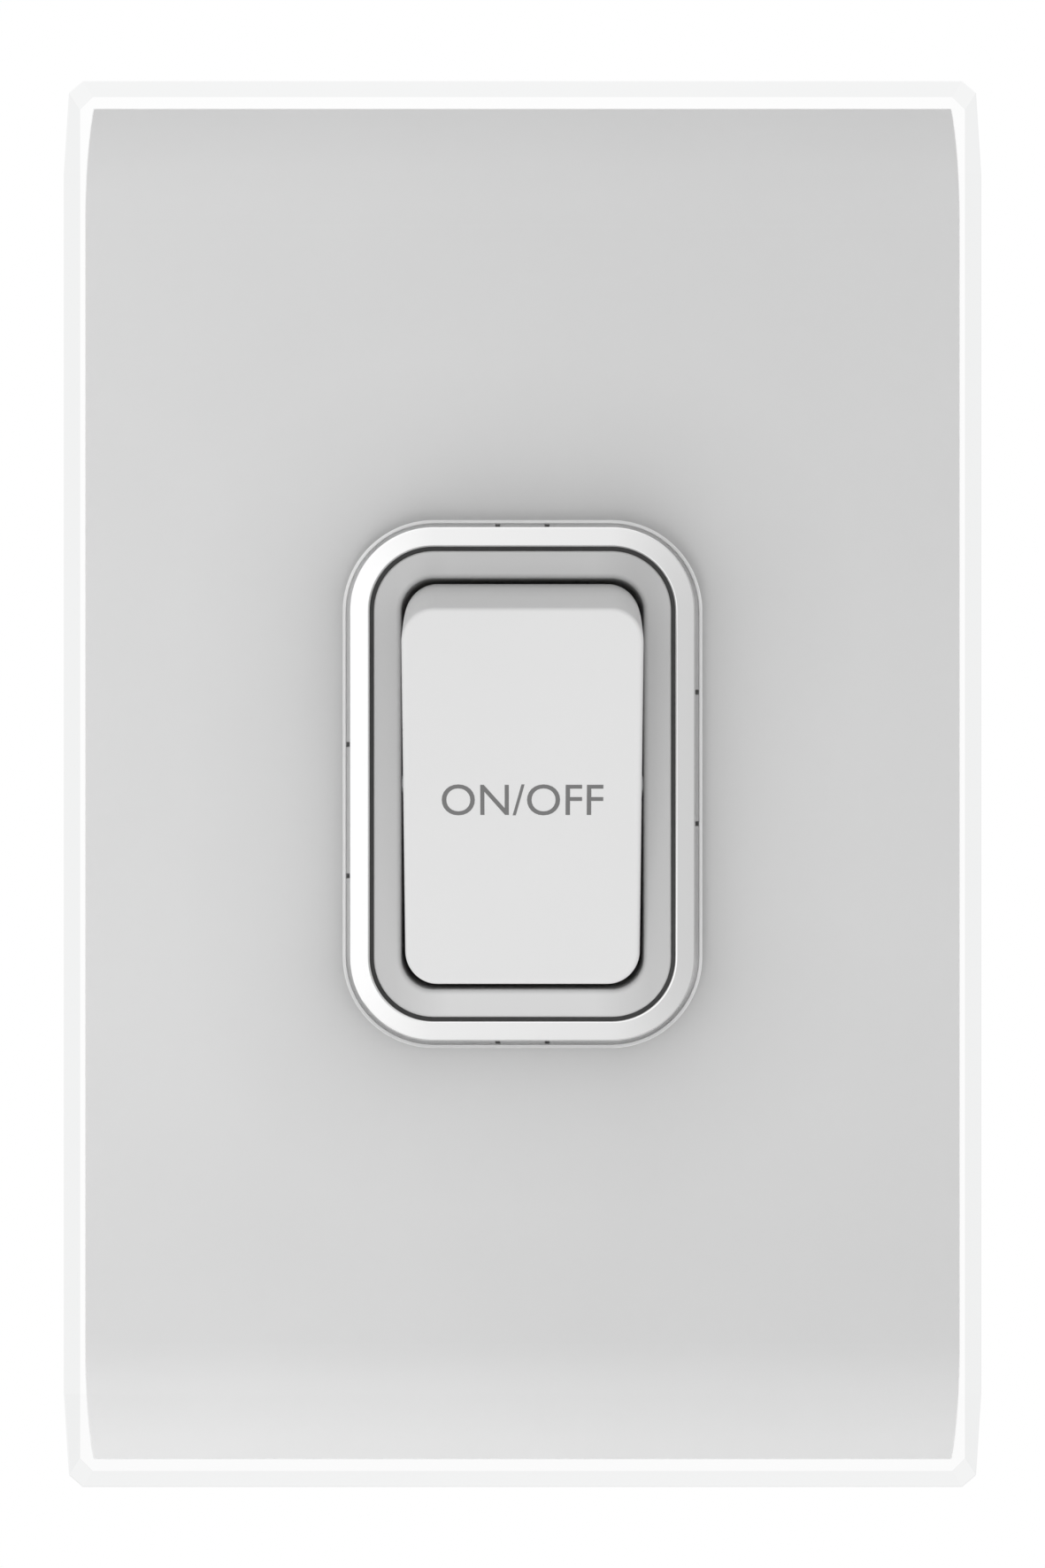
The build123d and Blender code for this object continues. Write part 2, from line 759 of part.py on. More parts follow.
def grid_frame():
    """The frame on the wall: window, collared and recessed fixing slots, screw holes, ribs and clip tabs."""
    body = slab(RectangleRounded(2 * grid_half_x, 2 * grid_half_z, grid_corner), 0, grid_thickness)
    body -= slab(outline(flange_radius + grid_window_gap), 0, grid_thickness)
    rib_top = grid_thickness + grid_rib_rise
    hole = fixing_screw_radius + fixing_hole_gap
    recess = fixing_head_radius + fixing_recess_margin
    rim = recess + grid_collar_wall
    slot = SlotOverall(2 * hole + fixing_slot_travel, 2 * hole)
    pocket = SlotOverall(2 * recess + fixing_slot_travel, 2 * recess)
    collar = SlotOverall(2 * rim + fixing_slot_travel, 2 * rim)
    for z in (-fixing_centres / 2, fixing_centres / 2):
        body += slab(Pos(0, z) * collar, grid_thickness, rib_top)
        body -= slab(Pos(0, z) * pocket, fixing_seat_t, rib_top)
        body -= slab(Pos(0, z) * slot, 0, grid_thickness)
    screw_hole = Circle(case_screw_radius + screw_hole_gap)
    body -= four(slab(Pos(case_screw_x, case_screw_z) * screw_hole, 0, grid_thickness))
    rib_x = grid_half_x - grid_rib_inset
    upright = SlotOverall(2 * grid_rib_half_length, grid_rib_width, rotation=90)
    rib = slab(Pos(rib_x, 0) * upright, grid_thickness, rib_top)
    body += rib + to_left(rib)
    cross_rib = block(
        -rib_x,
        rib_x,
        grid_thickness,
        rib_top,
        grid_cross_rib_z - grid_rib_width / 2,
        grid_cross_rib_z + grid_rib_width / 2,
    )
    body += cross_rib + mirror(cross_rib, about=Plane.XY)
    tab = block(
        grid_half_x - grid_rib_width,
        grid_half_x + grid_tab_reach,
        grid_thickness - grid_tab_thickness,
        grid_thickness,
        clip_z - clip_length / 2,
        clip_z + clip_length / 2,
    )
    return body + four(tab)


def mechanism_housing():
    """Front half of the case: window, rocker stops, screw bosses, clamp-screw holes and vents."""
    body = slab(RectangleRounded(case_width, case_height, case_corner), case_back_t, 0)
    body = chamfer(body.faces().sort_by(Axis.Y)[0].edges(), case_edge)
    hollow = Rectangle(2 * inside_half_x, 2 * inside_half_z)
    body -= slab(hollow, case_back_t, -case_front_wall)
    shelf_back = stop_front_t - well_box_wall
    body += slab(outline(window_radius + well_box_wall), shelf_back, -case_front_wall)
    shelf_cut = outline(window_radius) & Rectangle(case_width, 2 * rocker_stop_start)
    body -= slab(outline(window_radius), stop_front_t, 0)
    body -= slab(shelf_cut, shelf_back, 0)
    boss = Circle(screw_boss_radius)
    body += four(slab(Pos(case_screw_x, case_screw_z) * boss, -case_screw_length, -case_front_wall))
    body += four(slab(Pos(base_screw_x, base_screw_z) * boss, case_back_t, -case_front_wall))
    pilot = Circle(case_screw_radius + screw_pilot_gap)
    front_end = grid_thickness - case_screw_length - screw_tip_room
    rear_end = base_back_t + base_screw_length + screw_tip_room
    body -= four(slab(Pos(case_screw_x, case_screw_z) * pilot, front_end, 0))
    body -= four(slab(Pos(base_screw_x, base_screw_z) * pilot, case_back_t, rear_end))
    wall_z = inside_half_z + case_wall / 2
    access = Cylinder(clamp_screw_radius + screw_hole_gap, 2 * case_wall)
    body -= four(Pos(terminal_x, -clamp_t, wall_z) * access)
    body -= Pos(0, -clamp_t, -wall_z) * Cylinder(earth_screw_radius + screw_hole_gap, 2 * case_wall)
    for index in range(vent_count):
        t = case_back_t / 2 + (index - (vent_count - 1) / 2) * vent_pitch
        vent = block(
            inside_half_x - through,
            case_width / 2 + through,
            t - vent_width / 2,
            t + vent_width / 2,
            -vent_length / 2,
            vent_length / 2,
        )
        body -= vent + to_left(vent)
    return body


def cable_entry(x, z, bore_radius):
    """A collar on the back of the base and the hole through it, as a pair of solids."""
    hole = bore_radius + cable_hole_gap
    back = base_back_t - cable_collar_rise
    collar = slab(Pos(x, z) * Circle(hole + cable_collar_wall), back, case_back_t)
    return collar, slab(Pos(x, z) * Circle(hole), back, case_back_t)


def terminal_base():
    """Rear half of the case: cable entries, barrier, strip pedestals, terminal cradles and ribs."""
    body = slab(RectangleRounded(case_width, case_height, case_corner), base_back_t, case_back_t)
    body = chamfer(body.faces().sort_by(Axis.Y)[-1].edges(), case_edge)
    reach = block_inner_z - barrier_gap
    body += block(-barrier_thickness / 2, barrier_thickness / 2, case_back_t, -barrier_top, -reach, reach)
    half = arm_width / 2
    for low in (-strip_foot_start, -pedestal_length / 2, tip_z):
        for x in (-pole_x, pole_x):
            body += block(x - half, x + half, case_back_t, strip_back_t, low, low + pedestal_length)
    cradle_top = case_back_t + cradle_rise
    for x in (
        terminal_x - terminal_width / 2 - cradle_gap - cradle_wall,
        terminal_x + terminal_width / 2 + cradle_gap,
    ):
        body += four(block(x, x + cradle_wall, case_back_t, cradle_top, block_inner_z, block_centre_z))
    earth_x = earth_width / 2 + cradle_gap
    rib = block(earth_x, earth_x + cradle_wall, case_back_t, cradle_top, -block_centre_z, -block_inner_z)
    body += rib + to_left(rib)
    rib_x = inside_half_x - locating_rib_gap
    rib = block(
        rib_x - locating_rib_wall,
        rib_x,
        case_back_t,
        case_back_t + locating_rib_rise,
        -locating_rib_length / 2,
        locating_rib_length / 2,
    )
    body += rib + to_left(rib)
    entries = [(0, -block_centre_z, earth_bore_radius)]
    for z in (-block_centre_z, block_centre_z):
        entries += [(-terminal_x, z, cable_bore_radius), (terminal_x, z, cable_bore_radius)]
    for x, z, bore_radius in entries:
        collar, hole = cable_entry(x, z, bore_radius)
        body += collar
        body -= hole
    hole = Circle(case_screw_radius + screw_hole_gap)
    return body - four(slab(Pos(base_screw_x, base_screw_z) * hole, base_back_t, case_back_t))


def pieces():
    """Every piece by its node's name."""
    made = {
        "clear_cover": clear_cover(),
        "fascia": fascia(),
        "trim_ring": trim_ring(),
        "bezel": bezel(),
        "rocker_cap": rocker_cap(),
        "rocker_dolly": rocker_dolly(),
        "pivot_pin": pivot_pin(),
        "grid_frame": grid_frame(),
        "mounting_screws": mounting_screws(),
        "case_screws": case_screws(),
        "mechanism_housing": mechanism_housing(),
        "terminal_base": terminal_base(),
        "base_screws": base_screws(),
        "earth_terminal": tunnel_terminal(0, earth_width, earth_bore_radius, earth_screw_radius, -1, False),
        "terminal_screws": terminal_screws(),
    }
    mains = (terminal_x, terminal_width, cable_bore_radius, clamp_screw_radius)
    handed = {
        "terminal_load": tunnel_terminal(*mains, 1, True),
        "terminal_line": tunnel_terminal(*mains, -1, True),
        "pivot_bracket": pivot_bracket(),
        "fixed_contact": fixed_contact(),
        "fixed_tip": fixed_tip(),
        "contact_arm": contact_arm(),
        "moving_tip": moving_tip(),
        "plunger": plunger(),
        "plunger_spring": plunger_spring(),
    }
    for name, right in handed.items():
        made[name + "_right"] = right
        made[name + "_left"] = to_left(right)
    return made


os.makedirs("parts", exist_ok=True)
for node, shape in pieces().items():
    export_step(shape, "parts/" + node + ".step")
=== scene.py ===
"""Studio scene of a flush-plate cooker switch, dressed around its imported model.

The wall is the plane y = 0, the front faces -Y and Z is up. Lengths are metres.
"""

import json
import logging
import math
from dataclasses import dataclass, field
from enum import Enum
from typing import Protocol

import bmesh
import bpy
from mathutils import Matrix, Vector

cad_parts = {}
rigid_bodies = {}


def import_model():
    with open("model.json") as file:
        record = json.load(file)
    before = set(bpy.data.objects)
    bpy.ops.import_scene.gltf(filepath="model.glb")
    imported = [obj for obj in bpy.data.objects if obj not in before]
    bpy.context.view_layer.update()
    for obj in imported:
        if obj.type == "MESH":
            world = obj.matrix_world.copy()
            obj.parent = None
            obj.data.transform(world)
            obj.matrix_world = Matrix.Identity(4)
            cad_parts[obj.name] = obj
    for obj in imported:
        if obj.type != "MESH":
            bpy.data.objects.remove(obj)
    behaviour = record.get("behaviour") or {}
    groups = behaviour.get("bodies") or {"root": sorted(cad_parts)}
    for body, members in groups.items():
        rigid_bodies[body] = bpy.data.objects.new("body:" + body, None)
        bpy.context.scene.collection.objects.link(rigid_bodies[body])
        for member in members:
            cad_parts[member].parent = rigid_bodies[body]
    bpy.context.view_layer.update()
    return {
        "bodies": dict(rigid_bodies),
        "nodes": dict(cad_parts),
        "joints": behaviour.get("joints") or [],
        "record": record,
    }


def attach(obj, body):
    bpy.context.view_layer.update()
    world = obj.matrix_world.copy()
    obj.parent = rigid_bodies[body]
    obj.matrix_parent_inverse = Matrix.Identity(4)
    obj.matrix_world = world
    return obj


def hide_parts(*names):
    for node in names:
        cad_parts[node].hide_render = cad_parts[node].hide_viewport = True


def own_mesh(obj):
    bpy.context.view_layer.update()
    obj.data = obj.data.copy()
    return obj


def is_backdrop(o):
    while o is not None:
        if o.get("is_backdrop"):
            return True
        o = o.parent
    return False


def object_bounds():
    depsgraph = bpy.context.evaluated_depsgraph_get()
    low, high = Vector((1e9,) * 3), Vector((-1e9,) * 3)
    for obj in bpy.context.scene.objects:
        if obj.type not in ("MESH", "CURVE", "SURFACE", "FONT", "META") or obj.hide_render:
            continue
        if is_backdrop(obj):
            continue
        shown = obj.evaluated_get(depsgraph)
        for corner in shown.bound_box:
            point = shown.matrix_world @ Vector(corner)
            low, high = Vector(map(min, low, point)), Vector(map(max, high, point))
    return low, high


LOG = logging.getLogger("cooker_switch")
MM = 0.001

# The rocker's resting tilt and its pivot's height above the wall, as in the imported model.
TILT = math.radians(12.0)
PIVOT_RISE = 4.56 * MM

# Where nearly all of a noise's values lie.
NOISE_SPAN = (0.3, 0.7)

# How letters are made, one unit high, before they are scaled.
LETTER_RESOLUTION = 6
LETTER_DEPTH = 0.1
LETTER_WELD = 1e-5

Socket = bpy.types.NodeSocket
Triple = tuple[float, float, float]


class Side(Enum):
    """Which side of the middle a piece stands on, seen from the front."""

    LEFT = -1
    RIGHT = 1

    @property
    def word(self) -> str:
        """The side's word, as it ends a node's name."""
        return self.name.lower()


class Grain(Enum):
    """How a surface's fine relief is stretched along X, Y and Z, as the work on it leaves it."""

    SPARK = (1, 1, 1)
    TURNED = (1, 6, 1)
    DRAWN = (1, 1, 0.08)


class Tree:
    """A node tree with short calls for the nodes that the finishes and the surround share."""

    def __init__(self, owner: bpy.types.Material | bpy.types.World, output: str) -> None:
        """Empty the owner's tree.

        Args:
            owner: A new material or world.
            output: The type of its output node, without the ShaderNode prefix.
        """
        owner.use_nodes = True
        self.owner = owner
        self.nodes = owner.node_tree.nodes
        self.links = owner.node_tree.links
        self.nodes.clear()
        self.output = self.node(output)

    @classmethod
    def of_material(cls, name: str) -> "Tree":
        """Make an empty material.

        Args:
            name: The material's name.

        Returns:
            Its tree.
        """
        return cls(bpy.data.materials.new(name), "OutputMaterial")

    def node(self, kind: str, **settings: object) -> bpy.types.Node:
        """Add a node.

        Args:
            kind: The node's type without its ShaderNode prefix.
            settings: Attributes to set on it.

        Returns:
            The new node.
        """
        made = self.nodes.new("ShaderNode" + kind)
        for name, value in settings.items():
            setattr(made, name, value)
        return made

    def link(self, source: Socket, target: Socket) -> None:
        """Join two sockets."""
        self.links.new(source, target)

    def surface(self, source: Socket) -> None:
        """Join a shader to the tree's output."""
        self.link(source, self.output.inputs["Surface"])

    def place(self, scale: Triple = (1.0, 1.0, 1.0)) -> Socket:
        """Object coordinates, stretched.

        Args:
            scale: How much each axis is multiplied by.

        Returns:
            The vector socket.
        """
        coordinates = self.node("TexCoord")
        mapping = self.node("Mapping")
        mapping.inputs["Scale"].default_value = scale
        self.link(coordinates.outputs["Object"], mapping.inputs["Vector"])
        return mapping.outputs["Vector"]

    def noise(self, vector: Socket, scale: float, detail: float = 3.0) -> Socket:
        """A noise value.

        Args:
            vector: Where it is read.
            scale: Features for each metre.
            detail: Octaves.

        Returns:
            The value socket, about 0.5 in the mean.
        """
        made = self.node("TexNoise")
        made.inputs["Scale"].default_value = scale
        made.inputs["Detail"].default_value = detail
        self.link(vector, made.inputs["Vector"])
        return made.outputs["Fac"]

    def ramp(self, value: Socket, low: float, high: float, a: float = 0.0, b: float = 1.0) -> Socket:
        """A value moved from one range to another, clamped.

        Args:
            value: The value read.
            low: Where the first range begins.
            high: Where it ends.
            a: What low becomes.
            b: What high becomes.

        Returns:
            The value socket.
        """
        made = self.node("MapRange")
        for name, number in (("From Min", low), ("From Max", high), ("To Min", a), ("To Max", b)):
            made.inputs[name].default_value = number
        self.link(value, made.inputs["Value"])
        return made.outputs["Result"]

    def about(self, noise: Socket, middle: float, spread: float) -> Socket:
        """A value that a noise moves about its middle.

        Args:
            noise: The noise's value.
            middle: The middle.
            spread: The share of it that the value goes up and down.

        Returns:
            The value socket.
        """
        return self.ramp(noise, *NOISE_SPAN, middle * (1 - spread), middle * (1 + spread))

    def sum(self, operation: str, *terms: Socket | float) -> Socket:
        """A sum of values.

        Args:
            operation: The Math node's operation.
            terms: Its values, each a socket or a number.

        Returns:
            The value socket.
        """
        made = self.node("Math", operation=operation)
        for slot, term in zip(made.inputs, terms):
            if isinstance(term, Socket):
                self.link(term, slot)
            else:
                slot.default_value = term
        return made.outputs[0]

    def vector(self, operation: str, vector: Socket, by: Vector = Vector()) -> Socket:
        """A sum with a vector.

        Args:
            operation: The Vector Math node's operation.
            vector: Its first vector.
            by: Its second.

        Returns:
            The result's socket: a value where the operation gives one, or else a vector.
        """
        made = self.node("VectorMath", operation=operation)
        made.inputs[1].default_value = by
        self.link(vector, made.inputs[0])
        return made.outputs["Value" if operation in ("DOT_PRODUCT", "LENGTH") else "Vector"]

    def axes(self, vector: Socket) -> bpy.types.NodeOutputs:
        """A vector's three values, by the names X, Y and Z."""
        made = self.node("SeparateXYZ")
        self.link(vector, made.inputs[0])
        return made.outputs

    def blend(self, fac: Socket, first: Socket, second: Socket) -> Socket:
        """A shader between two shaders.

        Args:
            fac: 0 for the first and 1 for the second.
            first: A shader.
            second: Another.

        Returns:
            The shader's socket.
        """
        made = self.node("MixShader")
        for source, slot in zip((fac, first, second), made.inputs):
            self.link(source, slot)
        return made.outputs["Shader"]

    def tint(self, fac: Socket, first: Triple, second: Triple) -> Socket:
        """A colour between two colours.

        Args:
            fac: 0 for the first and 1 for the second.
            first: A colour.
            second: Another.

        Returns:
            The colour socket.
        """
        made = self.node("Mix", data_type="RGBA")
        sockets = [s for s in made.inputs if s.type == "RGBA"]
        sockets[0].default_value = (*first, 1.0)
        sockets[1].default_value = (*second, 1.0)
        self.link(fac, made.inputs["Factor"])
        return [s for s in made.outputs if s.type == "RGBA"][0]

    def bump(self, height: Socket, distance: float, strength: float) -> Socket:
        """A bumped normal.

        Args:
            height: The relief, 0 to 1.
            distance: How deep 1 is, in metres.
            strength: The share of it that shows.

        Returns:
            The normal socket.
        """
        made = self.node("Bump")
        made.inputs["Distance"].default_value = distance
        made.inputs["Strength"].default_value = strength
        self.link(height, made.inputs["Height"])
        return made.outputs["Normal"]


def grey(level: float) -> Triple:
    """A neutral linear colour.

    Args:
        level: Its brightness.

    Returns:
        The colour.
    """
    return (level, level, level)


@dataclass(frozen=True)
class Outline:
    """A tall rounded outline, with a radius of its own, about the four corner centres that all share."""

    radius: float
    corner_x: float = 7.34 * MM
    corner_z: float = 14.3 * MM
    arc_facets: int = 24

    def distance(self, tree: Tree) -> Socket:
        """How far each place is outside the outline.

        Args:
            tree: The material's tree.

        Returns:
            The value socket, in metres.
        """
        place = tree.vector("MULTIPLY", tree.place(), Vector((1, 0, 1)))
        spread = tree.vector("ABSOLUTE", place)
        corner = tree.vector("SUBTRACT", spread, Vector((self.corner_x, 0, self.corner_z)))
        outer = tree.vector("MAXIMUM", corner)
        return tree.sum("SUBTRACT", tree.vector("LENGTH", outer), self.radius)

    def band(self, width: float, low: float, high: float) -> bmesh.types.BMesh:
        """A closed band that runs round outside the outline.

        Args:
            width: How wide it is.
            low: Its lower height above the wall.
            high: Its upper height.

        Returns:
            The mesh.
        """
        outer = self.radius + width
        bm = bmesh.new()
        bmesh.ops.create_grid(bm, x_segments=1, y_segments=1, size=1.0)
        bmesh.ops.scale(bm, verts=bm.verts, vec=(self.corner_x + outer, self.corner_z + outer, 1))
        bmesh.ops.bevel(
            bm,
            geom=bm.verts[:],
            offset=outer,
            offset_type="OFFSET",
            affect="VERTICES",
            segments=self.arc_facets,
            profile=0.5,
            material=-1,
        )
        bmesh.ops.inset_region(
            bm, faces=bm.faces[:], thickness=width, use_boundary=True, use_even_offset=True
        )
        middle = [f for f in bm.faces if f.calc_center_median().length < width and len(f.verts) > 4]
        bmesh.ops.delete(bm, geom=middle, context="FACES_ONLY")
        walls = bmesh.ops.extrude_face_region(bm, geom=bm.faces[:])
        lifted = [item for item in walls["geom"] if isinstance(item, bmesh.types.BMVert)]
        bmesh.ops.translate(bm, verts=lifted, vec=(0, 0, high - low))
        bmesh.ops.recalc_face_normals(bm, faces=bm.faces)
        lay = Matrix.Translation((0, -low, 0)) @ Matrix.Rotation(math.pi / 2, 4, "X")
        bmesh.ops.transform(bm, matrix=lay, verts=bm.verts)
        return bm


@dataclass(frozen=True)
class Slope:
    """A value that changes evenly between two places, and is level beyond them."""

    start: float
    end: float
    first: float
    last: float

    def along(self, tree: Tree, place: Socket) -> Socket:
        """The value along a measure of place.

        Args:
            tree: The material's tree.
            place: The measure.

        Returns:
            The value socket.
        """
        return tree.ramp(place, self.start, self.end, self.first, self.last)


class Tone(Protocol):
    """Painted light and shade on a piece: how much its colour is darkened or lightened from place to
    place, standing in for light and shade.
    """

    def dark(self, tree: Tree) -> Socket:
        """How much darker each place is.

        Args:
            tree: The material's tree.

        Returns:
            The value socket: 0 where the colour is as it is written, and below 0 where it is lighter.
        """


@dataclass(frozen=True)
class FasciaPaintedLightShade:
    """Painted light and shade on the fascia's colour.

    It carries a soft halo of painted shade round the opening, taken back out by painted light in the
    narrow strip at the opening's edge, a wider faint painted shade beyond the halo, painted light at the
    bent top and bottom ends with faint painted shade over the lower part above the bottom end, and a
    faint painted lean towards the light: lighter on the left, a touch darker on the right.
    """

    opening: Outline = Outline(7.03 * MM)
    groove: Slope = Slope(0.31 * MM, 0.33 * MM, -0.36, 0.0)
    painted_shade_reach: float = 2.4 * MM
    painted_shade_depth: float = 0.30
    wide: Slope = Slope(3.0 * MM, 14.0 * MM, 0.048, 0.0)
    across: Slope = Slope(-36.0 * MM, 8.0 * MM, -0.05, 0.006)
    top: Slope = Slope(46.0 * MM, 57.3 * MM, 0.0, -0.145)
    low: Slope = Slope(-40.0 * MM, -12.0 * MM, 0.045, 0.0)
    bottom: Slope = Slope(-57.3 * MM, -47.0 * MM, -0.13, 0.0)

    def dark(self, tree: Tree) -> Socket:
        """As the tone's protocol says."""
        away = self.opening.distance(tree)
        fall = tree.sum("MULTIPLY", tree.sum("MAXIMUM", away, 0.0), -1.0 / self.painted_shade_reach)
        total = tree.sum("MULTIPLY", tree.sum("EXPONENT", fall), self.painted_shade_depth)
        axes = tree.axes(tree.place())
        slopes = (
            (self.groove, away),
            (self.wide, away),
            (self.across, axes["X"]),
            (self.top, axes["Z"]),
            (self.low, axes["Z"]),
            (self.bottom, axes["Z"]),
        )
        for slope, place in slopes:
            total = tree.sum("ADD", total, slope.along(tree, place))
        return total


@dataclass(frozen=True)
class BezelPaintedLightShade:
    """Painted light and shade on the bezel's colour: painted shade on its two long sides, beside the
    rocker's walls, and painted light across its middle.
    """

    sides: Slope = Slope(6.0 * MM, 10.5 * MM, -0.11, 0.09)

    def dark(self, tree: Tree) -> Socket:
        """As the tone's protocol says."""
        return self.sides.along(tree, tree.axes(tree.vector("ABSOLUTE", tree.place()))["X"])


@dataclass(frozen=True)
class RockerPaintedLightShade:
    """Painted light and shade on the rocker's colour: painted shade that deepens down its walls away from
    its face, towards the well, and faint painted light on and near its face.
    """

    face: float = -10.62 * MM
    walls: Slope = Slope(3.0 * MM, 6.6 * MM, -0.03, 0.28)

    def dark(self, tree: Tree) -> Socket:
        """As the tone's protocol says."""
        inwards = Vector((0, math.cos(TILT), math.sin(TILT)))
        below_face = tree.sum("SUBTRACT", tree.vector("DOT_PRODUCT", tree.place(), inwards), self.face)
        return self.walls.along(tree, below_face)


@dataclass(frozen=True)
class Moulding:
    """A moulded plastic: one colour with a faint flow mottle and a fine spark-eroded grain, and where it
    is given, painted light and shade on that colour.
    """

    name: str
    colour: Triple
    roughness: float = 0.4
    grain_depth: float = 2.0e-6
    grain_scale: float = 2600.0
    mottle: float = 0.02
    mottle_scale: float = 60.0
    spread: float = 0.08
    ior: float = 1.5
    painted_light_shade: Tone | None = None

    def material(self) -> bpy.types.Material:
        """Build the material.

        Returns:
            The material.
        """
        tree = Tree.of_material(self.name)
        shader = tree.node("BsdfPrincipled")
        shader.inputs["IOR"].default_value = self.ior
        place = tree.place()
        cloud = tree.noise(place, self.mottle_scale)
        dark = tuple(c * (1 - self.mottle) for c in self.colour)
        light = tuple(c * (1 + self.mottle) for c in self.colour)
        colour = tree.tint(cloud, dark, light)
        # Painted light and shade: where given, the colour is scaled darker or lighter from place to
        # place.
        if self.painted_light_shade is not None:
            shade = tree.node("VectorMath", operation="SCALE")
            tree.link(colour, shade.inputs[0])
            tree.link(tree.sum("SUBTRACT", 1.0, self.painted_light_shade.dark(tree)), shade.inputs["Scale"])
            colour = shade.outputs["Vector"]
        tree.link(colour, shader.inputs["Base Color"])
        grain = tree.noise(place, self.grain_scale)
        tree.link(tree.about(grain, self.roughness, self.spread), shader.inputs["Roughness"])
        tree.link(tree.bump(grain, self.grain_depth, 1.0), shader.inputs["Normal"])
        tree.surface(shader.outputs["BSDF"])
        return tree.owner


@dataclass(frozen=True)
class ClearPlastic:
    """Polished clear plastic that shows what lies under it without bending it.

    Only its outer faces mirror. A wall seen from within at a low angle is a little dimmer, as a thick
    rim is, and the cut edge of the opening is frosted.
    """

    name: str = "clear_plastic"
    passes: Triple = (0.993, 0.993, 0.993)
    rim: Triple = (0.88, 0.885, 0.885)
    slant: Slope = Slope(0.3, 0.8, 0.0, 1.0)
    mirrors: Triple = (0.93, 0.93, 0.93)
    ior: float = 1.45
    polish: float = 0.03
    haze_scale: float = 500.0
    spread: float = 0.2
    opening: Outline = Outline(7.32 * MM)
    frost: Triple = (0.90, 0.90, 0.90)
    frosted: Slope = Slope(0.21 * MM, 0.22 * MM, 0.92, 0.0)

    def material(self) -> bpy.types.Material:
        """Build the material.

        Returns:
            The material.
        """
        tree = Tree.of_material(self.name)
        clear = tree.node("BsdfTransparent")
        behind = tree.node("NewGeometry").outputs["Backfacing"]
        slant = self.slant.along(tree, tree.node("LayerWeight").outputs["Facing"])
        thick = tree.sum("MULTIPLY", behind, slant)
        tree.link(tree.tint(thick, self.passes, self.rim), clear.inputs["Color"])
        gloss = tree.node("BsdfGlossy")
        gloss.inputs["Color"].default_value = (*self.mirrors, 1.0)
        haze = tree.noise(tree.place(), self.haze_scale, 2.0)
        tree.link(tree.about(haze, self.polish, self.spread), gloss.inputs["Roughness"])
        fresnel = tree.node("Fresnel")
        fresnel.inputs["IOR"].default_value = self.ior
        outer = tree.sum("SUBTRACT", 1.0, behind)
        mirror = tree.sum("MULTIPLY", fresnel.outputs["Fac"], outer)
        polished = tree.blend(mirror, clear.outputs["BSDF"], gloss.outputs["BSDF"])
        rough = tree.node("BsdfDiffuse")
        rough.inputs["Color"].default_value = (*self.frost, 1.0)
        at_cut = self.frosted.along(tree, self.opening.distance(tree))
        tree.surface(tree.blend(at_cut, polished, rough.outputs["BSDF"]))
        return tree.owner


@dataclass(frozen=True)
class Metal:
    """A metal with a fine relief that runs as it was worked."""

    name: str
    colour: Triple
    roughness: float = 0.3
    grain: Grain = Grain.SPARK
    depth: float = 2.0e-6
    stain: float = 0.05
    grain_scale: float = 2500.0
    stain_scale: float = 220.0
    shows: float = 0.8
    spread: float = 0.2

    def material(self) -> bpy.types.Material:
        """Build the material.

        Returns:
            The material.
        """
        tree = Tree.of_material(self.name)
        shader = tree.node("BsdfPrincipled")
        shader.inputs["Metallic"].default_value = 1.0
        scratch = tree.noise(tree.place(self.grain.value), self.grain_scale)
        cloud = tree.noise(tree.place(), self.stain_scale)
        dark = tuple(c * (1 - self.stain) for c in self.colour)
        tree.link(tree.tint(cloud, dark, self.colour), shader.inputs["Base Color"])
        tree.link(tree.about(scratch, self.roughness, self.spread), shader.inputs["Roughness"])
        tree.link(tree.bump(scratch, self.depth, self.shows), shader.inputs["Normal"])
        tree.surface(shader.outputs["BSDF"])
        return tree.owner


@dataclass(frozen=True)
class Grade:
    """A surround's strength.

    It has a middle value, leans along X, Y and Z, dips towards both ends of each axis, and is weaker
    overhead by its cap. It is never more than its ceiling.
    """

    middle: float
    leans: Triple = (0.0, 0.0, 0.0)
    dips: Triple = (0.0, 0.0, 0.0)
    cap: float = 0.0
    ceiling: float = 1.0


@dataclass(frozen=True)
class Lamp:
    """A soft square lamp that looks at the origin."""

    name: str
    place: Triple
    side: float
    power: float

    def hang(self) -> None:
        """Add the lamp to the scene."""
        data = bpy.data.lights.new(self.name, "AREA")
        data.shape = "SQUARE"
        data.size = self.side
        data.energy = self.power
        lamp = bpy.data.objects.new(self.name, data)
        lamp.location = self.place
        lamp.rotation_euler = (-Vector(self.place)).to_track_quat("-Z", "Y").to_euler()
        lamp.visible_glossy = False
        bpy.context.scene.collection.objects.link(lamp)


